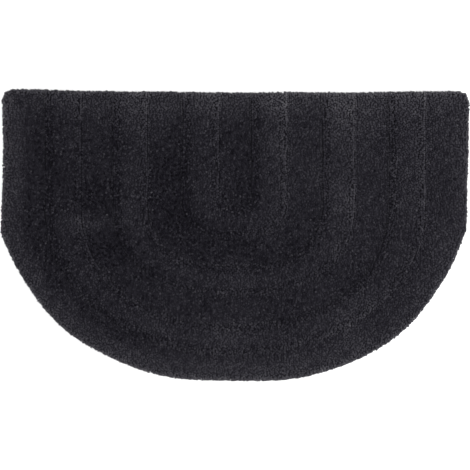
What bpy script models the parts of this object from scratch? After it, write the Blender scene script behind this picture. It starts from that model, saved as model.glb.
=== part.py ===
"""A half-round hooked rug with a cut pile in raised and lowered bands, lying flat.

The foundation cloth and the yarn hooked through it are one fabric, so the rug is one solid. Its top is the
surface that the cut yarn ends make: nested U-shaped bands, every other one taller. Its underside is the flat
back of the foundation cloth, which the outermost yarn leans out over.

X runs along the straight edge, Y from the curved edge towards the straight one, and Z up. The origin is on the
floor under the middle of the rug. All sizes are in metres.
"""

import math

import bmesh
import bpy
from mathutils import Vector

# Corners of the outline as the yarn reaches them. A hooked rug is never quite square.
TOP_LEFT = Vector((-0.3979, 0.2495))
TOP_RIGHT = Vector((0.3997, 0.2462))
LOWER_LEFT = Vector((-0.3994, 0.0047))
LOWER_RIGHT = Vector((0.3945, 0.0107))
TOP_CORNER_RADIUS = 0.017

# How far the middle of each straight edge is drawn in from the line between its corners.
TOP_BOW = 0.0042
LEFT_BOW = 0.0025
RIGHT_BOW = -0.0007

# The curved edge is part of a superellipse between the two lower corners, shifted sideways at its foot.
CURVE_BOTTOM = -0.2492
CURVE_CENTRE_Y = 0.2552
CURVE_POWER = 2.46
CURVE_SHIFT = 0.0048

# Small waves along the whole edge: (waves round the outline, height, phase).
EDGE_WAVES = ((10, 0.00042, 2.9), (11, 0.0004, 1.4), (12, 0.00038, 5.4), (22, 0.0002, 5.2))

# The nested U lines between the bands. Each has straight legs and half a superellipse as its foot. Its power is
# given for the outermost line, and grows by a step with each line further in.
LINES = 6
BAND_WIDTH = 0.0588
BAND_WIDTH_AT_FOOT = 0.0503
INNER_HALF_WIDTH = BAND_WIDTH / 2
MIDDLE_X = -0.0020
LAST_FOOT_Y = -0.2035
FOOT_DEPTH_SHARE = 0.770
LAST_FOOT_POWER = 2.02
FOOT_POWER_STEP = 0.15

# How far right of its even place each leg stands, from the innermost line out. The lines were drawn by hand.
LEFT_LEG_SHIFTS = (0.0047, 0.0005, 0.0, 0.0, 0.0050, 0.0020)
RIGHT_LEG_SHIFTS = (0.0004, 0.0026, 0.0043, 0.0006, 0.0, 0.0030)

# Heights of the surface above the floor, at the sides of a band. A crown is how much higher its middle is.
LOW_PILE = 0.0120
HIGH_PILE = 0.0160
LOW_CROWN = -0.0006
HIGH_CROWN = 0.0014
WALL_HALF_WIDTH = 0.0040

# The rug's rounded rim, above and below its widest level.
RIM_LEVEL = 0.0065
RIM_ROUNDING = 0.0100
UNDERCUT = ((0.0012, 0.0040), (0.0035, 0.0015), (0.0050, 0.0))

# Slow unevenness of the pile: (waves per metre along X, along Y, height, phase).
PILE_WAVES = ((3.1, 4.3, 0.0004, 0.9), (-5.2, 6.1, 0.0003, 3.0), (9.3, 2.2, 0.0002, 4.4))

# Mesh steps. An edge inset is a distance in from the rug's edge, and a wall offset one out from a U line.
EDGE_INSETS = (0.0, 0.0015, 0.0050, 0.0100, 0.0180)
WALL_OFFSETS = (-0.0040, -0.0015, 0.0015, 0.0040)
BAND_STEPS = 4
BORDER_STEPS = 3
LEG_STEPS = 8
CURVE_STEPS = 40

PILE_COLOUR = (0.0205, 0.0195, 0.0240, 1.0)
PILE_ROUGHNESS = 0.95


def clear_scene():
    for found in list(bpy.data.objects):
        bpy.data.objects.remove(found)


def pile_material():
    material = bpy.data.materials.new("pile")
    material.use_nodes = True
    shader = material.node_tree.nodes["Principled BSDF"]
    shader.inputs["Base Color"].default_value = PILE_COLOUR
    shader.inputs["Roughness"].default_value = PILE_ROUGHNESS
    shader.inputs["Metallic"].default_value = 0.0
    return material


def smooth_step(value):
    held = min(1.0, max(0.0, value))
    return held * held * (3 - 2 * held)


def bowed(start, end, share, bow):
    """The point at that share of a straight edge, moved left of its direction by the bow's curve."""
    along = end - start
    inward = Vector((-along.y, along.x)).normalized()
    return start + along * share + inward * bow * 4 * share * (1 - share)


def top_edge_y(x):
    """Y of the straight edge at that x."""
    share = (x - TOP_RIGHT.x) / (TOP_LEFT.x - TOP_RIGHT.x)
    return bowed(TOP_RIGHT, TOP_LEFT, share, TOP_BOW).y


def side_point(side, share):
    """A point of the left (-1) or right (1) edge, from its top corner (0) to its lower corner (1)."""
    if side < 0:
        return bowed(TOP_LEFT, LOWER_LEFT, share, LEFT_BOW)
    return bowed(LOWER_RIGHT, TOP_RIGHT, 1 - share, RIGHT_BOW)


def curve_point(side, share):
    """A point of the curved edge, from the lower corner on that side (0) to the middle of the foot (1)."""
    corner = LOWER_LEFT if side < 0 else LOWER_RIGHT
    depth = CURVE_CENTRE_Y - CURVE_BOTTOM
    first_sine = ((CURVE_CENTRE_Y - corner.y) / depth) ** (CURVE_POWER / 2)
    first_angle = math.asin(first_sine)
    angle = first_angle + (math.pi / 2 - first_angle) * share
    half_width = abs(corner.x) / math.cos(first_angle) ** (2 / CURVE_POWER)
    x = side * half_width * max(0.0, math.cos(angle)) ** (2 / CURVE_POWER)
    y = CURVE_CENTRE_Y - depth * math.sin(angle) ** (2 / CURVE_POWER)
    return Vector((x + CURVE_SHIFT * smooth_step(share), y))


def line_half_width(line):
    """Half the width between the legs of a U line. The innermost is line 1."""
    return INNER_HALF_WIDTH + (line - 1) * BAND_WIDTH


def lines_inside_last(half_width):
    """How many bands further in than the last line the U with that half width is."""
    return (line_half_width(LINES) - half_width) / BAND_WIDTH


def foot_y(half_width):
    """Y of the lowest point of the U with that half width."""
    return LAST_FOOT_Y + lines_inside_last(half_width) * BAND_WIDTH_AT_FOOT


def leg_reach(side, half_width):
    """How far right of the middle the left (-1) or right (1) leg of the U with that half width stands."""
    places = [0.0] + [line_half_width(line) for line in range(1, LINES + 1)]
    shifts = [0.0] + list(LEFT_LEG_SHIFTS if side < 0 else RIGHT_LEG_SHIFTS)
    shift = shifts[-1]
    for i in range(LINES):
        if places[i] <= half_width < places[i + 1]:
            share = (half_width - places[i]) / (places[i + 1] - places[i])
            shift = shifts[i] + share * (shifts[i + 1] - shifts[i])
    return side * half_width + shift


def foot_shares(half_width, angle):
    """(share of the half width, share of the foot's depth) at that angle of the foot's quarter turn."""
    power = LAST_FOOT_POWER + FOOT_POWER_STEP * lines_inside_last(half_width)
    return math.cos(angle) ** (2 / power), math.sin(angle) ** (2 / power)


def stations():
    """Where the U curves are cut, from the top of the left leg round to the top of the right leg.

    Each is (side, inset from the top edge or None, share of the leg, share of the foot's quarter turn).
    """
    down = [(inset, 0.0, 0.0) for inset in EDGE_INSETS]
    down += [(None, step / LEG_STEPS, 0.0) for step in range(1, LEG_STEPS + 1)]
    quarter = CURVE_STEPS // 2
    down += [(None, 1.0, step / quarter) for step in range(1, quarter)]
    left = [(-1, *place) for place in down]
    middle = [(1, None, 1.0, 1.0)]
    right = [(1, *place) for place in reversed(down)]
    return left + middle + right


def nested_point(half_width, station):
    """Where the U with that half width passes a station."""
    side, inset, leg_share, turn_share = station
    depth = half_width * FOOT_DEPTH_SHARE
    leg_end = foot_y(half_width) + depth
    reach = leg_reach(side, half_width)
    leg_x = MIDDLE_X + reach
    top = top_edge_y(leg_x)
    if inset is not None:
        return Vector((leg_x, top - inset))
    if turn_share == 0:
        start = top - EDGE_INSETS[-1]
        return Vector((leg_x, start + (leg_end - start) * leg_share))
    across, down = foot_shares(half_width, turn_share * math.pi / 2)
    return Vector((MIDDLE_X + reach * across, leg_end - depth * down))


def outline_point(station):
    """Where the rug's edge passes a station, before its top corners are rounded."""
    side, inset, leg_share, turn_share = station
    if turn_share > 0:
        return curve_point(side, turn_share)
    corner, lower = (TOP_LEFT, LOWER_LEFT) if side < 0 else (TOP_RIGHT, LOWER_RIGHT)
    height = corner.y - lower.y
    if inset is not None:
        return side_point(side, inset / height)
    first = EDGE_INSETS[-1] / height
    return side_point(side, first + (1 - first) * leg_share)


def rounded_corner(point):
    """(the point moved to round the top corners, its distance from the rounded corner or None).

    The square beside each corner is mapped onto a quarter disc, so that its two outer sides become the arc.
    """
    for side, corner in ((-1, TOP_LEFT), (1, TOP_RIGHT)):
        centre = Vector((corner.x - side * TOP_CORNER_RADIUS, top_edge_y(corner.x) - TOP_CORNER_RADIUS))
        across = side * (point.x - centre.x) / TOP_CORNER_RADIUS
        up = (point.y - centre.y) / TOP_CORNER_RADIUS
        if across > 0 and up > 0:
            disc_across = across * math.sqrt(max(0.0, 1 - up * up / 2))
            disc_up = up * math.sqrt(max(0.0, 1 - across * across / 2))
            moved = centre + Vector((side * disc_across, disc_up)) * TOP_CORNER_RADIUS
            reach = math.hypot(disc_across, disc_up)
            return moved, TOP_CORNER_RADIUS * max(0.0, 1 - reach)
    return point, None


def edge_wave(turn):
    """How far the edge stands out at that share of a turn round the outline."""
    return sum(height * math.sin(2 * math.pi * waves * turn + phase) for waves, height, phase in EDGE_WAVES)


def pile_wave(point):
    return sum(
        height * math.sin(2 * math.pi * (along_x * point.x + along_y * point.y) + phase)
        for along_x, along_y, height, phase in PILE_WAVES
    )


def band_height(half_width):
    """Height of the pile, away from the rug's edge, on the U with that half width.

    Bands are counted from 0 inside the first line, and the odd ones are the tall ones.
    """
    line = min(LINES, max(1, round((half_width - INNER_HALF_WIDTH) / BAND_WIDTH) + 1))
    past = half_width - line_half_width(line)
    inner_is_high = line % 2 == 0
    inner, outer = (HIGH_PILE, LOW_PILE) if inner_is_high else (LOW_PILE, HIGH_PILE)
    flat = inner + (outer - inner) * smooth_step(0.5 + past / (2 * WALL_HALF_WIDTH))
    crown = HIGH_CROWN if (past < 0) == inner_is_high else LOW_CROWN
    across = min(1.0, abs(past) / (BAND_WIDTH / 2))
    return flat + crown * math.sin(across * math.pi / 2) ** 2


def surface_height(half_width, point, edge_distance):
    """Height of the top surface, rounded down to the rim's level at the rug's edge."""
    pile = band_height(half_width) + pile_wave(point)
    short = max(0.0, 1 - edge_distance / RIM_ROUNDING)
    return RIM_LEVEL + (pile - RIM_LEVEL) * math.sqrt(1 - short * short)


def ring_half_widths():
    """Half widths of the U curves that carry the mesh, from the middle out to the foot of the last wall."""
    rings = [step * INNER_HALF_WIDTH / BAND_STEPS for step in range(BAND_STEPS)]
    for line in range(1, LINES + 1):
        here = line_half_width(line)
        rings += [here + offset for offset in WALL_OFFSETS]
        if line < LINES:
            rings += [here + BAND_WIDTH * step / BAND_STEPS for step in range(1, BAND_STEPS)]
    return rings


def inner_ring(half_width, cuts):
    """(point, height) at each station of a U curve."""
    found = []
    for station in cuts:
        point = nested_point(half_width, station)
        distance = RIM_ROUNDING if station[1] is None else station[1]
        found.append((point, surface_height(half_width, point, distance)))
    return found


def border_place(last, edge, step):
    """A point of the border band: steps up to BORDER_STEPS are shares, and later ones are edge insets."""
    across = edge - last
    if step < BORDER_STEPS:
        reach = 1 - EDGE_INSETS[-1] / across.length
        return last + across * reach * step / BORDER_STEPS, across.length
    inset = EDGE_INSETS[BORDER_STEPS - step - 1]
    return edge - across.normalized() * inset, inset


def border_ring(step, cuts):
    """(point, height) at each station of a curve between the last U line and the rug's edge."""
    last_half_width = line_half_width(LINES) + WALL_OFFSETS[-1]
    found = []
    for number, station in enumerate(cuts):
        last = nested_point(last_half_width, station)
        edge = outline_point(station)
        point, side_distance = border_place(last, edge, step)
        top_distance = RIM_ROUNDING if station[1] is None else station[1]
        point, corner_distance = rounded_corner(point)
        distance = min(side_distance, top_distance)
        if corner_distance is not None:
            distance = corner_distance
        half_width = line_half_width(LINES) + (point - last).length
        found.append((point, surface_height(half_width, point, distance)))
    return found


def wave_boundary(loop):
    """Moves the points of the boundary loop in and out by the edge's small waves."""
    total = sum((loop[i].co - loop[i - 1].co).length for i in range(len(loop)))
    travelled = 0.0
    moves = []
    for i, vertex in enumerate(loop):
        travelled += (vertex.co - loop[i - 1].co).length
        moves.append(outward_at(loop, i) * edge_wave(travelled / total))
    for vertex, move in zip(loop, moves):
        vertex.co += move


def outward_at(loop, i):
    """Unit vector out of the boundary loop at its vertex i, level with the floor. The loop runs anticlockwise."""
    along = loop[(i + 1) % len(loop)].co - loop[i - 1].co
    return Vector((along.y, -along.x, 0.0)).normalized()


def build_rug():
    """The top is a grid of rings across stations, the rim a few loops below it, and the back a fan."""
    cuts = stations()
    rings = [inner_ring(half_width, cuts) for half_width in ring_half_widths()]
    rings += [border_ring(step, cuts) for step in range(1, BORDER_STEPS + len(EDGE_INSETS))]

    mesh = bmesh.new()
    grid = [[mesh.verts.new((point.x, point.y, height)) for point, height in ring] for ring in rings]
    for inner, outer in zip(grid, grid[1:]):
        for i in range(len(cuts) - 1):
            mesh.faces.new((inner[i], outer[i], outer[i + 1], inner[i + 1]))

    # The boundary, anticlockwise from above: the outermost ring, then the straight edge back to its start.
    boundary = list(grid[-1])
    boundary += [ring[-1] for ring in reversed(grid[1:-1])]
    boundary += [ring[0] for ring in grid[:-1]]
    wave_boundary(boundary)
    grid[0][-1].co = grid[0][0].co

    above = boundary
    outward = [outward_at(boundary, i) for i in range(len(boundary))]
    for inset, height in UNDERCUT:
        below = []
        for vertex, out in zip(boundary, outward):
            place = vertex.co - out * inset
            below.append(mesh.verts.new((place.x, place.y, height)))
        for i in range(len(boundary)):
            mesh.faces.new((above[i - 1], below[i - 1], below[i], above[i]))
        above = below
    underside = mesh.faces.new(list(reversed(above)))
    bmesh.ops.poke(mesh, faces=[underside])

    bmesh.ops.remove_doubles(mesh, verts=mesh.verts, dist=1e-6)
    bmesh.ops.recalc_face_normals(mesh, faces=mesh.faces)
    data = bpy.data.meshes.new("rug")
    mesh.to_mesh(data)
    mesh.free()
    data.materials.append(pile_material())
    data.shade_smooth()
    data.set_sharp_from_angle(angle=math.radians(50))
    rug = bpy.data.objects.new("rug", data)
    bpy.context.scene.collection.objects.link(rug)
    return rug


clear_scene()
build_rug()
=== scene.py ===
"""Looks of the half-round hooked rug: cut yarn tufts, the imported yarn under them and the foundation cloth.

The tufts are set out flat in hooked rows. More rows run along both sides of the lines between the bands and
along the rug's edge. Each tuft is then put on the solid's surface, and near the edge the rows are rolled over
the rug's rim. A tuft is a short length of three-ply yarn whose cut end opens into three lobes. Two single
fibres stand out of it.
"""

import math

import bmesh
import bpy
import numpy as np
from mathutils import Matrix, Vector
from mathutils.bvhtree import BVHTree


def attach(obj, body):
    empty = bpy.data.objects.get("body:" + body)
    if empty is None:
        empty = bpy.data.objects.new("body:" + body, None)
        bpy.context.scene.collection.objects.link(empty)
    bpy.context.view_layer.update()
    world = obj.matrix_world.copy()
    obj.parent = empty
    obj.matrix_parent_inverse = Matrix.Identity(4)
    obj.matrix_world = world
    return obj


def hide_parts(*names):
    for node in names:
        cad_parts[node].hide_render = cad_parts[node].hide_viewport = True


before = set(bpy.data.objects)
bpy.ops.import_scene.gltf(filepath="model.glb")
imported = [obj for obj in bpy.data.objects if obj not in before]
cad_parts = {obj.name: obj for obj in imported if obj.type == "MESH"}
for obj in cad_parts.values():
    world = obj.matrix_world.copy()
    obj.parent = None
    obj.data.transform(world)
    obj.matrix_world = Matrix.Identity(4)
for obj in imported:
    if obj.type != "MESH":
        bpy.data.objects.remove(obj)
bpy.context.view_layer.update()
random = np.random.default_rng(41)

# The solid's rim, as the part's source makes it. Rows up to RIM_OVERHANG past the outline are rolled over it.
# Above its widest level it curves up to the pile's height, and below that level by up to RIM_DROP.
RIM_LEVEL = 0.0065
SAME_LEVEL = 0.00001
RIM_ROUNDING = 0.0100
RIM_DROP = 0.0050
RIM_TURN = math.radians(112)
RIM_OVERHANG = 0.0065
LEAST_RISE = 0.003

# The nested U lines between the bands, as the part's source makes them. A power is that of a foot's curve.
LINES = 6
BAND_WIDTH = 0.0588
BAND_WIDTH_AT_FOOT = 0.0503
INNER_HALF_WIDTH = BAND_WIDTH / 2
MIDDLE_X = -0.0020
LAST_FOOT_Y = -0.2035
FOOT_DEPTH_SHARE = 0.770
LAST_FOOT_POWER = 2.02
FOOT_POWER_STEP = 0.15
LEAST_FOOT_POWER = 1.5
LEFT_LEG_SHIFTS = (0.0047, 0.0005, 0.0, 0.0, 0.0050, 0.0020)
RIGHT_LEG_SHIFTS = (0.0004, 0.0026, 0.0043, 0.0006, 0.0, 0.0030)

# How finely places among the lines are worked out.
WIDEST_HALF_WIDTH = 0.6
HALVINGS = 22
SLOPE_REACH = 0.002
LEAST_STEEPNESS = 0.2
LINE_POINTS = 721
TURN_REACH = 0.001

# Mottling is a sum of waves in every direction: (how many, shortest wave, longest wave).
LINE_MOTTLING = (12, 0.030, 0.090)
EDGE_MOTTLING = (24, 0.020, 0.060)
BROAD_MOTTLING = (24, 0.050, 0.120)
PATCH_MOTTLING = (40, 0.010, 0.030)
GRAIN_MOTTLING = (60, 0.0050, 0.0100)

# The hooked rows run along Y. A wander is how far a row or a tuft strays.
ROW_PITCH = 0.00345
TUFT_PITCH = 0.00345
ROW_WANDER = 0.0010
TUFT_WANDER = 0.0012
STREAK_TUFTS = 4

# A row on each side of a U line, down its legs and on until this share of its direction is along X. A reach
# is half the width of the strip that the grid leaves free for such rows.
LINE_ROW_PLACE = 0.0018
LINE_ROW_REACH = 0.0035
LINE_ROW_PITCH = 0.0033
LINE_ROW_WANDER = 0.0004
LINE_WANDER = 0.0006
LINE_ROW_TURN = 0.55

# A row this far outside the outline before it is rolled over, where the rim stands out furthest.
EDGE_ROW_PLACE = 0.0033
EDGE_ROW_REACH = 0.0017
EDGE_ROW_PITCH = 0.0029

# The walls between the bands are steeper than the solid's, and the tips of the tufts are uneven.
WALL_HALF_WIDTH = 0.0040
WALL_STEEPENED = 2.6
UNEVEN_TIPS = 0.0004
UNEVEN_RIM = 0.0006
RIM_REACH = 0.0008

# Lean of the tufts, as sideways over up: over the low bands, out over the rim, and at random.
BAND_LEAN = 0.35
RIM_LEAN = 0.32
RIM_LEAN_LEAST = 0.3
LEAN_FADE = 0.030
UNEVEN_LEAN = 0.20

# The yarn of one tuft. The corners of its two rings are in turn on a ply and in the dip between two.
PLIES = 3
TUFT_LENGTH = 0.0062
SHOULDER_REACH = 0.0022
SHOULDER_DEPTH = 0.0013
CROWN_REACH = 0.0013
CROWN_DEPTH = 0.0002
DIP_SHARE = 0.86
DIP_DEPTH = 0.0004
SIZE_RANGE = (0.88, 1.12)
DEEPEST_END = 0.0006
UNEVEN_CORNER_TURN = 0.15
UNEVEN_CORNER_DEPTH = 0.0002
# Corner tones of a tuft are painted shade: darker at the root and in the dips between plies, where the pile
# shades itself.
ROOT_PAINTED_SHADE = 0.62
SHOULDER_PAINTED_SHADE = [0.90, 0.80]
CROWN_PAINTED_SHADE = [1.0, 0.95]
END_TONE = 1.0

# The single fibres of one tuft. A place is a share of the crown's reach, and a lean one of the length.
FIBRES = 2
FIBRE_SIDES = 3
FIBRE_LENGTH = 0.0015
FIBRE_RADIUS = 0.00011
FIBRE_PLACES = (0.2, 1.2)
FIBRE_LENGTHS = (0.8, 1.2)
FIBRE_MOST_LEAN = 0.5
# A fibre is painted darker at its foot, as painted shade deep in the pile, and lighter at its tip, as painted
# light where it stands out.
FIBRE_FOOT_PAINTED_SHADE = 0.8
FIBRE_TIP_PAINTED_LIGHT = 1.3

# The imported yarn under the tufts, and the foundation cloth under that.
CORE_DEPTH = 0.0030
CORE_INSET = 0.0022
CORE_BLEND = 0.0170
CORE_WALL_MARGIN = 0.0005
CORE_WALL_REACH = 0.0044
CORE_CLEARANCE = 0.0002
CORE_TONE = 0.8
FOUNDATION_TOP = 0.0020
FOUNDATION_INSET = 0.0052

YARN_COLOUR = (0.0199, 0.0190, 0.0240, 1.0)
# The lighter the yarn, the less blue: (lightness, share of green, share of blue).
YARN_TINTS = (
    (0.0, 1.0, 1.0), (0.3, 0.96, 1.13), (1.0, 1.0, 1.0), (2.0, 1.01, 0.94), (4.0, 1.02, 0.88),
)
LIGHTEST = 4.0
FOUNDATION_COLOUR = (0.0420, 0.0400, 0.0440, 1.0)
FLOOR_COLOUR = (0.90, 0.90, 0.90, 1.0)

# The pile lies over towards the low bands. Painted light and shade: the tall bands are painted lighter and
# the low bands darker, and a tall band is painted lighter on its side towards the lamp, as its lit flanks
# would look.
LIGHT_SIDE = np.array([0.98, -0.18])
TALL_BAND_PAINTED_LIGHT = 0.07
ACROSS_BAND_PAINTED_LIGHT = 0.12

# Painted light along the upper edge of every wall: a painted highlight where the wall faces the lamp and
# painted shade where it faces away, both stronger towards the lamp. It comes and goes.
EDGE_PAINTED_LIGHT_AND_SHADE = 0.09
BOTH_EDGES_PAINTED_LIGHT = 0.03
EDGE_TONE_GROWTH = 1.3
EDGE_TONE_RANGE = (0.3, 1.3)
EDGE_TONE_WIDTH = 0.0021
EDGE_TONE_UNEVEN = 0.5

# The low pile at the foot of each wall is lightened against the wall's own shade, more at the front and left.
WALL_FOOT_TONE = 0.23
WALL_FOOT_AT_FRONT = 0.16
WALL_FOOT_AT_LEFT = 0.10
WALL_FOOT_WIDTH = 0.0035

# The pile opens towards the rug's edge. Painted light: the pile is painted lighter near the edge, where its
# open flanks catch the light, less so on the side next to the lamp, and lighter still in a thin fringe at the
# edge. The rug's side towards the lamp is painted lighter too. The pile is also lighter towards the top and
# bottom.
PLAIN_TONE = -0.205
LAMP_SIDE_PAINTED_LIGHT = 0.58
ENDS_TONE = 3.0
MARGIN_PAINTED_LIGHT = 0.43
MARGIN_TOWARDS_LIGHT = -0.30
MARGIN_FADE = (0.018, 0.052)
FRINGE_PAINTED_LIGHT = 0.57
FRINGE_WIDTH = 0.008

# Uneven tone, from broad patches down to single tufts. The grain is stronger in darker pile, within a range.
BROAD_TONE = 0.04
PATCH_TONE = 0.12
GRAIN_TONE = 0.15
STREAK_TONE = 0.03
TUFT_TONE = 0.18
GRAIN_EVENNESS = 1.5
GRAIN_RANGE = (0.4, 1.9)
GRAIN_BALANCE = 0.05

# Places where the pile was brushed one way or the other, with the light and shade that the brushed pile shows
# painted in: (x, y, reach along X, reach along Y, tone).
BRUSHED_PAINTED_LIGHT = (
    (0.184, 0.200, 0.026, 0.029, 0.34), (0.186, 0.065, 0.024, 0.030, 0.36),
    (0.192, -0.160, 0.018, 0.026, 0.35), (-0.240, 0.020, 0.050, 0.014, 0.50),
    (-0.174, 0.060, 0.022, 0.060, 0.14), (0.085, 0.150, 0.022, 0.055, 0.26),
    (-0.140, 0.200, 0.038, 0.027, 0.26), (0.012, -0.082, 0.022, 0.018, 0.25),
    (-0.018, -0.170, 0.040, 0.028, 0.32), (-0.135, -0.155, 0.040, 0.020, 0.26),
    (-0.135, -0.085, 0.020, 0.015, 0.20), (0.174, -0.029, 0.017, 0.012, 0.20),
    (-0.214, 0.200, 0.030, 0.030, 0.18), (0.247, 0.190, 0.018, 0.022, 0.22),
    (-0.268, -0.095, 0.020, 0.025, 0.22), (-0.080, 0.160, 0.014, 0.045, 0.15),
    (0.142, 0.095, 0.014, 0.050, 0.16), (0.350, -0.030, 0.022, 0.035, 0.14),
    (-0.102, 0.120, 0.036, 0.060, -0.42), (-0.108, 0.025, 0.042, 0.045, -0.45),
    (-0.308, 0.118, 0.030, 0.065, -0.20), (-0.238, 0.070, 0.035, 0.034, -0.36),
    (-0.212, -0.022, 0.034, 0.030, -0.55), (-0.174, -0.172, 0.055, 0.015, -0.20),
    (-0.022, -0.010, 0.045, 0.030, -0.32), (0.020, 0.095, 0.030, 0.075, -0.18),
    (0.110, -0.050, 0.070, 0.035, -0.20), (0.262, -0.065, 0.045, 0.035, -0.20),
    (0.085, -0.140, 0.022, 0.035, -0.22), (0.300, -0.005, 0.020, 0.035, -0.26),
    (-0.315, -0.090, 0.015, 0.022, -0.25), (0.247, -0.150, 0.018, 0.018, -0.18),
    (-0.352, -0.035, 0.022, 0.040, -0.20), (-0.262, -0.150, 0.030, 0.030, -0.14),
    (-0.140, -0.075, 0.040, 0.014, -0.16), (0.000, 0.150, 0.022, 0.050, -0.17),
    (0.322, 0.225, 0.035, 0.020, -0.22), (-0.345, 0.205, 0.020, 0.030, 0.10),
    (-0.115, 0.212, 0.022, 0.018, 0.15), (0.215, 0.160, 0.014, 0.050, 0.20),
    (0.160, 0.200, 0.014, 0.028, 0.14), (0.188, 0.155, 0.014, 0.022, 0.10),
)

# Fibre noise of the yarn, stretched along Z because the fibres stand upright in the tufts.
FIBRE_NOISE_SCALE = 2600
FIBRE_NOISE_DETAIL = 2
FIBRE_NOISE_STRETCH = (1.0, 1.0, 0.12)
FIBRE_NOISE_RANGE = (0.3, 0.7)
FIBRE_NOISE_TONES = (0.35, 1.7)
YARN_ROUGHNESS = 0.8
YARN_ROUGHNESS_RANGE = (0.95, 0.55)
YARN_BUMP_STRENGTH = 0.9
YARN_BUMP_HEIGHT = 0.0003
YARN_SPECULAR = 0.02

# Crossed threads of the foundation cloth.
THREAD_SCALE = 160
THREAD_UNEVENNESS = 0.6
THREAD_TONES = (0.5, 1.2)
THREAD_BUMP_STRENGTH = 1.0
THREAD_BUMP_HEIGHT = 0.0004
CLOTH_ROUGHNESS = 0.9

# The floor lies a little below the rug. The light is soft and all round, with one wide lamp from the right.
FLOOR_ROUGHNESS = 0.9
FLOOR_REACH = 8.0
FLOOR_LEVEL = -0.0003
SURROUND_LIGHT = 1.6
LAMP_PLACE = (2.2, -0.5, 1.6)
LAMP_SIZE = 1.0
LAMP_POWER = 45

# The camera looks straight down, and the rug's width nearly fills the square picture.
PICTURE_WIDTH = 0.8025
PICTURE_CENTRE = (-0.0002, 0.0005)
CAMERA_HEIGHT = 3.0
SENSOR = 36.0


def smooth_step(value):
    held = np.clip(value, 0.0, 1.0)
    return held * held * (3 - 2 * held)


def mottling(points, count, shortest, longest):
    """Uneven tone of about the same strength everywhere, from waves in every direction."""
    turn = random.uniform(0, 2 * math.pi, count)
    number = 2 * math.pi / random.uniform(shortest, longest, count)
    phase = random.uniform(0, 2 * math.pi, count)
    waves = np.stack([np.cos(turn), np.sin(turn)]) * number
    return np.sin(points @ waves + phase).sum(1) * math.sqrt(2 / count)


def rug_outline(solid):
    """The corners of the rug's edge, anticlockwise from above: the solid's points at the level of its rim."""
    points = np.array([vertex.co[:] for vertex in solid.data.vertices])
    rim = points[np.abs(points[:, 2] - RIM_LEVEL) < SAME_LEVEL]
    rim = np.unique(rim[:, :2].round(6), axis=0)
    return rim[np.argsort(np.arctan2(rim[:, 1], rim[:, 0]))]


def edge_frame(points, outline):
    """(distance inside the edge, nearest point of the edge, outward direction there) for each point."""
    start = outline
    along = np.roll(outline, -1, axis=0) - start
    length = np.linalg.norm(along, axis=1)
    side = np.stack([along[:, 1], -along[:, 0]], axis=1) / length[:, None]
    corner = side + np.roll(side, 1, axis=0)
    corner /= np.linalg.norm(corner, axis=1)[:, None]
    offset = points[:, None, :] - start[None]
    share = np.clip((offset * along).sum(2) / length ** 2, 0, 1)
    gap = np.linalg.norm(offset - share[..., None] * along, axis=2)
    nearest = gap.argmin(1)
    rows = np.arange(len(points))
    at = share[rows, nearest][:, None]
    foot = start[nearest] + at * along[nearest]
    outward = corner[nearest] * (1 - at) + np.roll(corner, -1, axis=0)[nearest] * at
    outward /= np.linalg.norm(outward, axis=1)[:, None]
    outside = ((points - foot) * side[nearest]).sum(1) > 0
    return np.where(outside, -1, 1) * gap[rows, nearest], foot, outward


def surface_heights(points, solid):
    """Height of the solid's top under each point of the plane."""
    tree = BVHTree.FromObject(solid, bpy.context.evaluated_depsgraph_get())
    down = Vector((0, 0, -1))
    found = []
    for x, y in points:
        hit = tree.ray_cast(Vector((x, y, 1.0)), down)[0]
        found.append(RIM_LEVEL if hit is None else hit.z)
    return np.array(found)


def line_half_width(line):
    """Half the width between the legs of a U line. The innermost is line 0."""
    return INNER_HALF_WIDTH + line * BAND_WIDTH


def lines_past_first(half_width):
    """How many band widths outside the innermost line the U with that half width is."""
    return (half_width - INNER_HALF_WIDTH) / BAND_WIDTH


def leg_reach(right, half_width):
    """How far from the middle each leg of the U with that half width stands."""
    places = [0.0] + [line_half_width(line) for line in range(LINES)]
    left_shift = np.interp(half_width, places, (0.0, *LEFT_LEG_SHIFTS))
    right_shift = np.interp(half_width, places, (0.0, *RIGHT_LEG_SHIFTS))
    return half_width + np.where(right, right_shift, -left_shift)


def foot_of_line(half_width):
    """(the foot's depth, Y where the legs end, power of the foot's curve) of the U with that half width."""
    lines_inside_last = LINES - 1 - lines_past_first(half_width)
    depth = half_width * FOOT_DEPTH_SHARE
    leg_end = LAST_FOOT_Y + lines_inside_last * BAND_WIDTH_AT_FOOT + depth
    power = np.maximum(LEAST_FOOT_POWER, LAST_FOOT_POWER + FOOT_POWER_STEP * lines_inside_last)
    return depth, leg_end, power


def beyond_line(points, half_width):
    """Whether each point lies outside the nested U with that half width."""
    depth, leg_end, power = foot_of_line(half_width)
    across = np.abs(points[:, 0] - MIDDLE_X) / leg_reach(points[:, 0] > MIDDLE_X, half_width)
    down = np.maximum(0, leg_end - points[:, 1]) / depth
    return across ** power + down ** power > 1


def half_widths(points):
    """Half width of the nested U through each point. The range that it lies in is halved again and again."""
    low = np.zeros(len(points))
    high = np.full(len(points), WIDEST_HALF_WIDTH)
    for _ in range(HALVINGS):
        middle = (low + high) / 2
        outside = beyond_line(points, middle)
        low, high = np.where(outside, middle, low), np.where(outside, high, middle)
    return (low + high) / 2


def away_from_middle(points):
    """(direction across the bands, growth of the U's half width per metre along it) at each point."""
    steps = [np.array([SLOPE_REACH, 0.0]), np.array([0.0, SLOPE_REACH])]
    slope = np.stack([half_widths(points + step) - half_widths(points - step) for step in steps], axis=1)
    slope /= 2 * SLOPE_REACH
    steepness = np.maximum(LEAST_STEEPNESS, np.linalg.norm(slope, axis=1))
    return slope / steepness[:, None], steepness


def beside_lines(points):
    """(nearest U line from 0, signed distance out from it, direction across the bands) for each point."""
    across, steepness = away_from_middle(points)
    past_first = lines_past_first(half_widths(points))
    line = np.clip(np.round(past_first), 0, LINES - 1)
    return line, (past_first - line) * BAND_WIDTH / steepness, across


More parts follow.
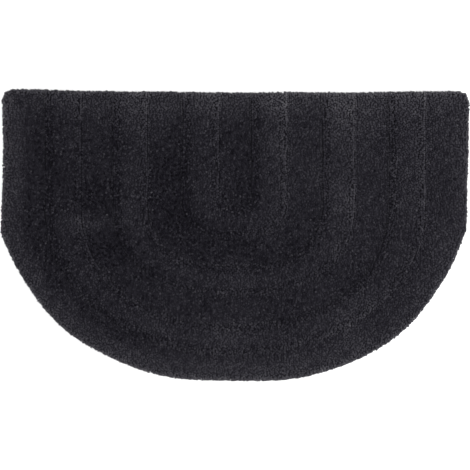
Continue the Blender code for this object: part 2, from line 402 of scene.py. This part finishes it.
def grid_points(outline):
    """(points of the hooked rows, streak of each), inside the outline and in what is rolled over the rim."""
    low = outline.min(0) - RIM_OVERHANG
    high = outline.max(0) + RIM_OVERHANG
    across = np.arange(low[0], high[0], ROW_PITCH)
    up = np.arange(low[1], high[1], TUFT_PITCH)
    x, y = np.meshgrid(across, up, indexing="ij")
    y = y + (np.arange(len(across)) % 2)[:, None] * TUFT_PITCH / 2
    x = x + random.normal(0, ROW_WANDER, x.shape)
    y = y + random.uniform(-TUFT_WANDER, TUFT_WANDER, y.shape)
    streak = random.normal(0, 1, x.shape)
    streak = sum(np.roll(streak, step, axis=1) for step in range(STREAK_TUFTS))
    streak /= math.sqrt(STREAK_TUFTS)
    return np.stack([x.ravel(), y.ravel()], axis=1), streak.ravel()


def way_along(path):
    """How far along the path each of its points is."""
    return np.concatenate([[0], np.cumsum(np.linalg.norm(np.diff(path, axis=0), axis=1))])


def points_along(path, at):
    """The points at those distances along the path."""
    travelled = way_along(path)
    return np.stack([np.interp(at, travelled, path[:, axis]) for axis in (0, 1)], axis=1)


def uneven_steps(path, pitch):
    """Distances along the path for a row of tufts about a pitch apart."""
    at = np.arange(0, way_along(path)[-1], pitch)
    return at + random.normal(0, LINE_ROW_WANDER, len(at))


def u_line_path(half_width, top):
    """Points of the U line with that half width, whose legs reach up to the height of top."""
    depth, leg_end, power = foot_of_line(half_width)
    turn = np.linspace(0, math.pi, LINE_POINTS)
    reach = leg_reach(np.cos(turn) > 0, half_width)
    x = MIDDLE_X + reach * np.sign(np.cos(turn)) * np.abs(np.cos(turn)) ** (2 / power)
    y = leg_end - depth * np.sin(turn) ** (2 / power)
    x = np.concatenate([x[:1], x, x[-1:]])
    y = np.concatenate([[top], y, [top]])
    return np.stack([x, y], axis=1)


def rows_beside_lines(top):
    """Points of the two rows that run along each U line's legs, one on each side, up to the height of top."""
    rows = []
    for line in reversed(range(LINES)):
        path = u_line_path(line_half_width(line), top)
        for side in (-1, 1):
            at = uneven_steps(path, LINE_ROW_PITCH)
            place = points_along(path, at)
            along = points_along(path, at + TURN_REACH) - points_along(path, at - TURN_REACH)
            along /= np.linalg.norm(along, axis=1)[:, None]
            beside = side * LINE_ROW_PLACE + LINE_WANDER * mottling(place, *LINE_MOTTLING)
            beside += random.normal(0, LINE_ROW_WANDER, len(at))
            row = place + np.stack([along[:, 1], -along[:, 0]], axis=1) * beside[:, None]
            rows.append(row[np.abs(along[:, 0]) < LINE_ROW_TURN])
    return np.concatenate(rows)


def row_along_edge(outline):
    """Points of the row that stands out furthest at the rim, outside the outline until it is rolled over."""
    closed = np.vstack([outline, outline[:1]])
    foot = points_along(closed, uneven_steps(closed, EDGE_ROW_PITCH))
    _, _, outward = edge_frame(foot, outline)
    return foot + outward * (EDGE_ROW_PLACE + random.normal(0, LINE_ROW_WANDER, len(foot)))[:, None]


def hooked_points(outline):
    """(points of all the rows, streak of each). The grid leaves strips free for the other rows."""
    points, streak = grid_points(outline)
    _, past, across = beside_lines(points)
    inside, _, _ = edge_frame(points, outline)
    apart = (np.abs(past) > LINE_ROW_REACH) | (np.abs(across[:, 1]) > LINE_ROW_TURN)
    apart &= np.abs(inside + EDGE_ROW_PLACE) > EDGE_ROW_REACH
    rows = np.concatenate([rows_beside_lines(points[:, 1].max()), row_along_edge(outline)])
    points = np.concatenate([points[apart], rows])
    return points, np.concatenate([streak[apart], random.normal(0, 1, len(rows))])


def clear_of_walls(points):
    """The points, moved away from the U lines, so that the heights read there rise in a steeper wall."""
    _, past, across = beside_lines(points)
    steepened = np.clip(past * WALL_STEEPENED, -WALL_HALF_WIDTH, WALL_HALF_WIDTH)
    further = np.where(np.abs(past) < WALL_HALF_WIDTH, steepened - past, 0)
    return points + across * further[:, None]


def place_tufts(solid, outline):
    """Where each tuft's tip is, which way it points, and the facts that its tone is worked out from."""
    points, streak = hooked_points(outline)
    inside, foot, outward = edge_frame(points, outline)
    kept = inside > -RIM_OVERHANG
    points, streak, inside, foot, outward = (found[kept] for found in (points, streak, inside, foot, outward))

    # Points nearer the edge than the rim's rounding turn over it, about a seat where the rounding starts.
    rolled = inside < RIM_ROUNDING
    seat = np.where(rolled[:, None], foot - outward * RIM_ROUNDING, points)
    height = surface_heights(clear_of_walls(seat), solid)
    turn = np.where(rolled, (RIM_ROUNDING - inside) / (RIM_ROUNDING + RIM_OVERHANG) * RIM_TURN, 0)
    rise = np.where(turn < math.pi / 2, height - RIM_LEVEL, RIM_DROP)
    tip_xy = np.where(rolled[:, None], seat + outward * (RIM_ROUNDING * np.sin(turn))[:, None], points)
    tip_z = np.where(rolled, RIM_LEVEL + rise * np.cos(turn), height)
    tips = np.column_stack([tip_xy, tip_z])

    out = np.sin(turn) / RIM_ROUNDING
    upward = np.cos(turn) / np.maximum(rise, LEAST_RISE)
    scale = np.hypot(out, upward)
    pointing = np.column_stack([outward * (out / scale)[:, None], upward / scale])
    further = random.normal(0, 1, len(tips)) * np.where(rolled, UNEVEN_RIM, UNEVEN_TIPS)
    further += RIM_REACH * np.sin(turn)
    tips += pointing * further[:, None]
    line, past, across = beside_lines(tip_xy)
    return {
        "tips": tips, "pointing": pointing, "streak": streak, "inside": inside, "outward": outward,
        "half_width": half_widths(tip_xy), "line": line, "past": past, "across": across,
    }


def band_wave(tufts):
    """1 where a tall band lies outside its line, -1 where it lies inside it, and 0 in the bands' middles."""
    return np.cos(math.pi * lines_past_first(tufts["half_width"]))


def lean_tufts(tufts):
    """Leans the tufts over the low bands, outwards near the rug's edge, and a little at random."""
    near_edge = smooth_step(1 - (tufts["inside"] - RIM_ROUNDING) / LEAN_FADE)
    upright = smooth_step((tufts["inside"] + RIM_OVERHANG) / (RIM_ROUNDING + RIM_OVERHANG))
    at_rim = RIM_LEAN * near_edge * (RIM_LEAN_LEAST + (1 - RIM_LEAN_LEAST) * upright)
    lean = tufts["outward"] * at_rim[:, None]
    lean -= tufts["across"] * (BAND_LEAN * band_wave(tufts) * (1 - near_edge))[:, None]
    lean += random.normal(0, UNEVEN_LEAN, lean.shape)
    leaning = tufts["pointing"] + np.column_stack([lean, np.zeros(len(lean))])
    return leaning / np.linalg.norm(leaning, axis=1)[:, None]


def band_painted_light_and_shade(tufts):
    """Painted light and shade of the tall and low bands, of a tall band from side to side, and of each wall's
    edge and foot.
    """
    past_first = lines_past_first(tufts["half_width"])
    band = np.clip(np.floor(past_first), -1, LINES - 1)
    place = np.clip(past_first - band - 0.5, -0.5, 0.5)
    lit = tufts["across"] @ LIGHT_SIDE
    # Painted light: tall bands lighter, low bands darker, and a tall band lighter on its side towards the
    # lamp.
    tone = np.where(band % 2 == 0, TALL_BAND_PAINTED_LIGHT + ACROSS_BAND_PAINTED_LIGHT * 2 * place * lit, -TALL_BAND_PAINTED_LIGHT)

    tall_side = np.where(tufts["line"] % 2 == 0, 1, -1)
    into_tall = tufts["past"] * tall_side
    wall_lit = -lit * tall_side
    # Painted highlight on the edges of walls that face the lamp, painted shade on those that face away.
    upper_edge = np.exp(-((into_tall - LINE_ROW_PLACE) / EDGE_TONE_WIDTH) ** 4)
    upper_edge *= np.maximum(0, 1 + EDGE_TONE_UNEVEN * mottling(tufts["tips"][:, :2], *EDGE_MOTTLING))
    upper_edge *= np.clip(1 + EDGE_TONE_GROWTH * tufts["tips"][:, 0], *EDGE_TONE_RANGE)
    wall_foot = np.where(into_tall < 0, np.exp(-(into_tall / WALL_FOOT_WIDTH) ** 2), 0)
    foot_tone = WALL_FOOT_TONE + WALL_FOOT_AT_FRONT * np.maximum(0, -tufts["across"][:, 1])
    foot_tone += WALL_FOOT_AT_LEFT * smooth_step(-tufts["tips"][:, 0] / BAND_WIDTH)
    return tone + (BOTH_EDGES_PAINTED_LIGHT + EDGE_PAINTED_LIGHT_AND_SHADE * wall_lit) * upper_edge + foot_tone * wall_foot


def tuft_tones(tufts):
    """How light each tuft's yarn is painted, around 1: uneven tone, with painted light and shade of the
    bands, walls, edge and brushed places.
    """
    points = tufts["tips"][:, :2]
    tone = band_painted_light_and_shade(tufts) + PLAIN_TONE
    # Painted light on the rug's side towards the lamp; the pile is also lighter towards the top and bottom.
    tone += LAMP_SIDE_PAINTED_LIGHT * points[:, 0] + ENDS_TONE * points[:, 1] ** 2
    inside = np.maximum(0, tufts["inside"])
    margin = 1 - smooth_step((inside - MARGIN_FADE[0]) / (MARGIN_FADE[1] - MARGIN_FADE[0]))
    # Painted light near the rug's edge and in a thin fringe at it.
    tone += (MARGIN_PAINTED_LIGHT + MARGIN_TOWARDS_LIGHT * tufts["outward"][:, 0]) * margin
    tone += FRINGE_PAINTED_LIGHT * np.exp(-(inside / FRINGE_WIDTH) ** 2)
    # Painted light and shade of the brushed places.
    for x, y, reach_x, reach_y, strength in BRUSHED_PAINTED_LIGHT:
        tone += strength * np.exp(-((points[:, 0] - x) / reach_x) ** 2 - ((points[:, 1] - y) / reach_y) ** 2)
    tone += BROAD_TONE * mottling(points, *BROAD_MOTTLING)
    tone += PATCH_TONE * mottling(points, *PATCH_MOTTLING)
    spread = np.clip(np.exp(-GRAIN_EVENNESS * (tone - tone.mean())), *GRAIN_RANGE)
    grain = GRAIN_TONE * mottling(points, *GRAIN_MOTTLING) + STREAK_TONE * tufts["streak"]
    grain += random.normal(0, TUFT_TONE, len(points))
    return np.exp(tone + grain * spread - GRAIN_BALANCE * spread ** 2)


def ring_points(centre, side, other, angle, radius):
    """The point at that angle and radius from each centre, in the plane of its side and other directions."""
    ring = side * np.cos(angle)[:, None] + other * np.sin(angle)[:, None]
    return centre + ring * np.reshape(radius, (-1, 1))


def yarn_form(end, pointing, side, other, turn, size):
    """(corners, faces, corner tones) of every tuft's yarn: its root, shoulder ring, crown ring and middle."""
    count = len(end)
    sides = 2 * PLIES
    step = 2 * math.pi / sides
    corners = [end - pointing * TUFT_LENGTH]
    for reach, ring_depth in ((SHOULDER_REACH, SHOULDER_DEPTH), (CROWN_REACH, CROWN_DEPTH)):
        for i in range(sides):
            in_dip = i % 2
            angle = turn + (i + random.normal(0, UNEVEN_CORNER_TURN, count)) * step
            radius = reach * (DIP_SHARE if in_dip else 1.0) * size * random.uniform(*SIZE_RANGE, count)
            down = ring_depth + DIP_DEPTH * in_dip
            down = down + random.uniform(-UNEVEN_CORNER_DEPTH, UNEVEN_CORNER_DEPTH, count)
            corners.append(ring_points(end, side, other, angle, radius) - pointing * down[:, None])
    corners.append(end - pointing * (CROWN_DEPTH * random.uniform(0, 2, count))[:, None])

    following = [(i + 1) % sides for i in range(sides)]
    faces = [(0, 1 + following[i], 1 + i) for i in range(sides)]
    faces += [(1 + i, 1 + following[i], 1 + sides + following[i], 1 + sides + i) for i in range(sides)]
    faces += [(1 + sides + i, 1 + sides + following[i], 1 + 2 * sides) for i in range(sides)]
    # The corner tones are painted shade, darker deeper in the pile.
    return corners, faces, [ROOT_PAINTED_SHADE] + SHOULDER_PAINTED_SHADE * PLIES + CROWN_PAINTED_SHADE * PLIES + [END_TONE]


def fibre_form(end, pointing, side, other, first):
    """(corners, faces, corner tones) of one fibre of every tuft. Its corners are counted from first."""
    count = len(end)
    out = random.uniform(0, 2 * math.pi, count)
    base = ring_points(end, side, other, out, CROWN_REACH * random.uniform(*FIBRE_PLACES, count))
    base -= pointing * (CROWN_DEPTH + DIP_DEPTH)
    step = 2 * math.pi / FIBRE_SIDES
    corners = [ring_points(base, side, other, out + i * step, FIBRE_RADIUS) for i in range(FIBRE_SIDES)]
    length = FIBRE_LENGTH * random.uniform(*FIBRE_LENGTHS, count)
    lean = length * random.uniform(0, FIBRE_MOST_LEAN, count)
    corners.append(ring_points(base + pointing * length[:, None], side, other, out, lean))
    faces = [tuple(first + i for i in reversed(range(FIBRE_SIDES)))]
    faces += [(first + i, first + (i + 1) % FIBRE_SIDES, first + FIBRE_SIDES) for i in range(FIBRE_SIDES)]
    # Painted shade at the fibre's foot and painted light at its tip.
    return corners, faces, [FIBRE_FOOT_PAINTED_SHADE] * FIBRE_SIDES + [FIBRE_TIP_PAINTED_LIGHT]


def joined_mesh(name, corners, faces):
    """One mesh of all tufts. Each item of corners holds one corner of every tuft, and faces joins items."""
    count = len(corners[0])
    vertices = np.stack(corners, axis=1).reshape(-1, 3)
    sizes = np.tile([len(face) for face in faces], count)
    pattern = np.array([corner for face in faces for corner in face])
    loops = (pattern[None] + len(corners) * np.arange(count)[:, None]).ravel()
    mesh = bpy.data.meshes.new(name)
    mesh.vertices.add(len(vertices))
    mesh.vertices.foreach_set("co", vertices.ravel())
    mesh.loops.add(len(loops))
    mesh.loops.foreach_set("vertex_index", loops)
    mesh.polygons.add(len(sizes))
    mesh.polygons.foreach_set("loop_start", np.concatenate([[0], np.cumsum(sizes)[:-1]]))
    mesh.update(calc_edges=True)
    mesh.shade_smooth()
    return mesh


def give_tones(mesh, tones):
    layer = mesh.attributes.new("tone", "FLOAT", "POINT")
    layer.data.foreach_set("value", tones)


def tuft_mesh(name, tips, pointing, tones):
    """One mesh of all these tufts, each a closed dome of three lobes on a pointed root, with its fibres."""
    count = len(tips)
    side = np.cross(pointing, (0.0, 1.0, 0.0))
    side /= np.linalg.norm(side, axis=1)[:, None]
    other = np.cross(pointing, side)
    turn = random.uniform(0, 2 * math.pi, count)
    size = random.uniform(*SIZE_RANGE, count)
    end = tips - pointing * random.uniform(0.0, DEEPEST_END, count)[:, None]
    corners, faces, painted_depth_shade = yarn_form(end, pointing, side, other, turn, size)
    for _ in range(FIBRES):
        more_corners, more_faces, more_painted_depth_shade = fibre_form(end, pointing, side, other, len(corners))
        corners += more_corners
        faces += more_faces
        painted_depth_shade += more_painted_depth_shade
    mesh = joined_mesh(name, corners, faces)
    # Painted shade: each tuft's tone is darkened deeper in the pile.
    give_tones(mesh, (tones[:, None] * np.array(painted_depth_shade)[None]).ravel())
    return mesh


def show(mesh, material):
    """Puts the mesh in the scene as a piece that rides on the rug."""
    mesh.materials.append(material)
    piece = bpy.data.objects.new(mesh.name, mesh)
    bpy.context.scene.collection.objects.link(piece)
    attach(piece, "root")
    return piece


def core_mesh(solid, outline):
    """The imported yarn: the solid's own shape, drawn in below the tufts and standing on the foundation."""
    points = np.array([vertex.co[:] for vertex in solid.data.vertices])
    inside, _, outward = edge_frame(points[:, :2], outline)
    deeper = CORE_INSET * np.clip(1 - inside / CORE_BLEND, 0, 1)
    points[:, :2] -= outward * deeper[:, None]
    _, past, across = beside_lines(points[:, :2])
    beside = (np.abs(past) < WALL_HALF_WIDTH + CORE_WALL_MARGIN) & (inside > RIM_ROUNDING)
    for reach in (-CORE_WALL_REACH, CORE_WALL_REACH):
        shifted = points[:, :2] + across * (reach - past)[:, None]
        lowest = np.minimum(points[:, 2], surface_heights(shifted, solid))
        points[:, 2] = np.where(beside, lowest, points[:, 2])
    points[:, 2] = np.maximum(points[:, 2] - CORE_DEPTH, FOUNDATION_TOP + CORE_CLEARANCE)
    mesh = solid.data.copy()
    mesh.name = "pile_core"
    mesh.materials.clear()
    mesh.vertices.foreach_set("co", points.ravel())
    mesh.update()
    give_tones(mesh, np.full(len(points), CORE_TONE))
    return mesh


def foundation_mesh(outline):
    """The foundation cloth: a flat closed sheet, a little smaller than the pile's reach."""
    _, foot, outward = edge_frame(outline, outline)
    ring = foot - outward * FOUNDATION_INSET
    sheet = bmesh.new()
    low = [sheet.verts.new((x, y, 0.0)) for x, y in ring]
    high = [sheet.verts.new((x, y, FOUNDATION_TOP)) for x, y in ring]
    sheet.faces.new(list(reversed(low)))
    sheet.faces.new(high)
    for i in range(len(ring)):
        sheet.faces.new((low[i - 1], low[i], high[i], high[i - 1]))
    bmesh.ops.triangulate(sheet, faces=[face for face in sheet.faces if len(face.verts) > 4])
    mesh = bpy.data.meshes.new("foundation")
    sheet.to_mesh(mesh)
    sheet.free()
    return mesh


def new_material(name, colour, roughness):
    material = bpy.data.materials.new(name)
    material.use_nodes = True
    shader = material.node_tree.nodes["Principled BSDF"]
    shader.inputs["Base Color"].default_value = colour
    shader.inputs["Roughness"].default_value = roughness
    return material, shader


def link(material, source, target):
    material.node_tree.links.new(source, target)


def product(material, first, second):
    node = material.node_tree.nodes.new("ShaderNodeMath")
    node.operation = "MULTIPLY"
    link(material, first, node.inputs[0])
    link(material, second, node.inputs[1])
    return node.outputs[0]


def stretched(material, factor, to_range, from_range=(0.0, 1.0)):
    """The factor, stretched from one range to another and held within it."""
    node = material.node_tree.nodes.new("ShaderNodeMapRange")
    node.inputs["From Min"].default_value, node.inputs["From Max"].default_value = from_range
    node.inputs["To Min"].default_value, node.inputs["To Max"].default_value = to_range
    link(material, factor, node.inputs["Value"])
    return node.outputs["Result"]


def raise_surface(material, shader, height, strength, distance):
    """Gives the surface a bump that rises with the height, up to the distance."""
    bump = material.node_tree.nodes.new("ShaderNodeBump")
    bump.inputs["Strength"].default_value = strength
    bump.inputs["Distance"].default_value = distance
    link(material, height, bump.inputs["Height"])
    link(material, bump.outputs["Normal"], shader.inputs["Normal"])


def scaled_colour(material, factor, colour):
    """The colour times a factor that differs over the surface."""
    mix = material.node_tree.nodes.new("ShaderNodeVectorMath")
    mix.operation = "SCALE"
    mix.inputs[0].default_value = colour[:3]
    link(material, factor, mix.inputs["Scale"])
    return mix.outputs[0]


def yarn_colour(material, factor):
    """The yarn's colour at that lightness. The lighter it is, the less blue."""
    nodes = material.node_tree.nodes
    share = nodes.new("ShaderNodeMath")
    share.operation = "DIVIDE"
    link(material, factor, share.inputs[0])
    share.inputs[1].default_value = LIGHTEST
    ramp = nodes.new("ShaderNodeValToRGB")
    link(material, share.outputs[0], ramp.inputs["Fac"])
    stops = ramp.color_ramp.elements
    for lightness, _, _ in YARN_TINTS[1:-1]:
        stops.new(lightness / LIGHTEST)
    for stop, (lightness, green, blue) in zip(stops, YARN_TINTS):
        red, plain_green, plain_blue, _ = YARN_COLOUR
        stop.color = (red * lightness, plain_green * lightness * green, plain_blue * lightness * blue, 1.0)
    return ramp.outputs["Color"]


def yarn_material():
    material, shader = new_material("yarn", YARN_COLOUR, YARN_ROUGHNESS)
    nodes = material.node_tree.nodes
    place = nodes.new("ShaderNodeTexCoord")
    upright = nodes.new("ShaderNodeMapping")
    upright.inputs["Scale"].default_value = FIBRE_NOISE_STRETCH
    link(material, place.outputs["Object"], upright.inputs["Vector"])
    fibre = nodes.new("ShaderNodeTexNoise")
    fibre.inputs["Scale"].default_value = FIBRE_NOISE_SCALE
    fibre.inputs["Detail"].default_value = FIBRE_NOISE_DETAIL
    link(material, upright.outputs["Vector"], fibre.inputs["Vector"])
    noise = fibre.outputs["Fac"]
    tone = nodes.new("ShaderNodeAttribute")
    tone.attribute_name = "tone"
    fibre_tone = stretched(material, noise, FIBRE_NOISE_TONES, FIBRE_NOISE_RANGE)
    lightness = product(material, tone.outputs["Fac"], fibre_tone)
    link(material, yarn_colour(material, lightness), shader.inputs["Base Color"])
    link(material, stretched(material, noise, YARN_ROUGHNESS_RANGE), shader.inputs["Roughness"])
    raise_surface(material, shader, noise, YARN_BUMP_STRENGTH, YARN_BUMP_HEIGHT)
    shader.inputs["Specular IOR Level"].default_value = YARN_SPECULAR
    return material


def foundation_material():
    material, shader = new_material("foundation_cloth", FOUNDATION_COLOUR, CLOTH_ROUGHNESS)
    nodes = material.node_tree.nodes
    place = nodes.new("ShaderNodeTexCoord")
    threads = []
    for direction in ("X", "Y"):
        wave = nodes.new("ShaderNodeTexWave")
        wave.bands_direction = direction
        wave.inputs["Scale"].default_value = THREAD_SCALE
        wave.inputs["Distortion"].default_value = THREAD_UNEVENNESS
        link(material, place.outputs["Object"], wave.inputs["Vector"])
        threads.append(wave.outputs["Fac"])
    weave = product(material, *threads)
    tone = stretched(material, weave, THREAD_TONES)
    link(material, scaled_colour(material, tone, FOUNDATION_COLOUR), shader.inputs["Base Color"])
    raise_surface(material, shader, weave, THREAD_BUMP_STRENGTH, THREAD_BUMP_HEIGHT)
    return material


def build_rug():
    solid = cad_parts["rug"]
    outline = rug_outline(solid)
    tufts = place_tufts(solid, outline)
    pointing = lean_tufts(tufts)
    tones = tuft_tones(tufts)
    band = np.clip(np.floor(lines_past_first(tufts["half_width"])) + 1, 0, LINES).astype(int)
    left = tufts["tips"][:, 0] < 0
    yarn = yarn_material()
    # The outermost band is the largest, so it is two pieces.
    for number in range(LINES + 1):
        halves = {"": band == number}
        if number == LINES:
            halves = {"_left": (band == number) & left, "_right": (band == number) & ~left}
        for half, chosen in halves.items():
            mesh = tuft_mesh(f"tufts_{number}{half}", tufts["tips"][chosen], pointing[chosen], tones[chosen])
            show(mesh, yarn)
    core = show(core_mesh(solid, outline), yarn)
    foundation = show(foundation_mesh(outline), foundation_material())
    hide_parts("rug")


def build_floor():
    mesh = bpy.data.meshes.new("floor")
    square = [(-FLOOR_REACH, -FLOOR_REACH), (FLOOR_REACH, -FLOOR_REACH)]
    square += [(FLOOR_REACH, FLOOR_REACH), (-FLOOR_REACH, FLOOR_REACH)]
    mesh.from_pydata([(x, y, FLOOR_LEVEL) for x, y in square], [], [(0, 1, 2, 3)])
    material, _ = new_material("floor", FLOOR_COLOUR, FLOOR_ROUGHNESS)
    mesh.materials.append(material)
    floor = bpy.data.objects.new("floor", mesh)
    bpy.context.scene.collection.objects.link(floor)


def build_light():
    world = bpy.data.worlds.new("studio")
    world.use_nodes = True
    world.node_tree.nodes["Background"].inputs["Color"].default_value = (1.0, 1.0, 1.0, 1.0)
    world.node_tree.nodes["Background"].inputs["Strength"].default_value = SURROUND_LIGHT
    bpy.context.scene.world = world
    light = bpy.data.lights.new("key", "AREA")
    light.shape = "DISK"
    light.size = LAMP_SIZE
    light.energy = LAMP_POWER
    lamp = bpy.data.objects.new("key", light)
    lamp.location = LAMP_PLACE
    lamp.rotation_euler = (-Vector(LAMP_PLACE)).to_track_quat("-Z", "Y").to_euler()
    bpy.context.scene.collection.objects.link(lamp)
    bpy.context.scene.view_settings.view_transform = "Standard"


def build_camera():
    data = bpy.data.cameras.new("camera")
    data.sensor_width = SENSOR
    data.lens = SENSOR * (CAMERA_HEIGHT - RIM_LEVEL) / PICTURE_WIDTH
    camera = bpy.data.objects.new("camera", data)
    camera.location = (*PICTURE_CENTRE, CAMERA_HEIGHT)
    bpy.context.scene.collection.objects.link(camera)
    bpy.context.scene.camera = camera


build_rug()
build_floor()
build_light()
build_camera()
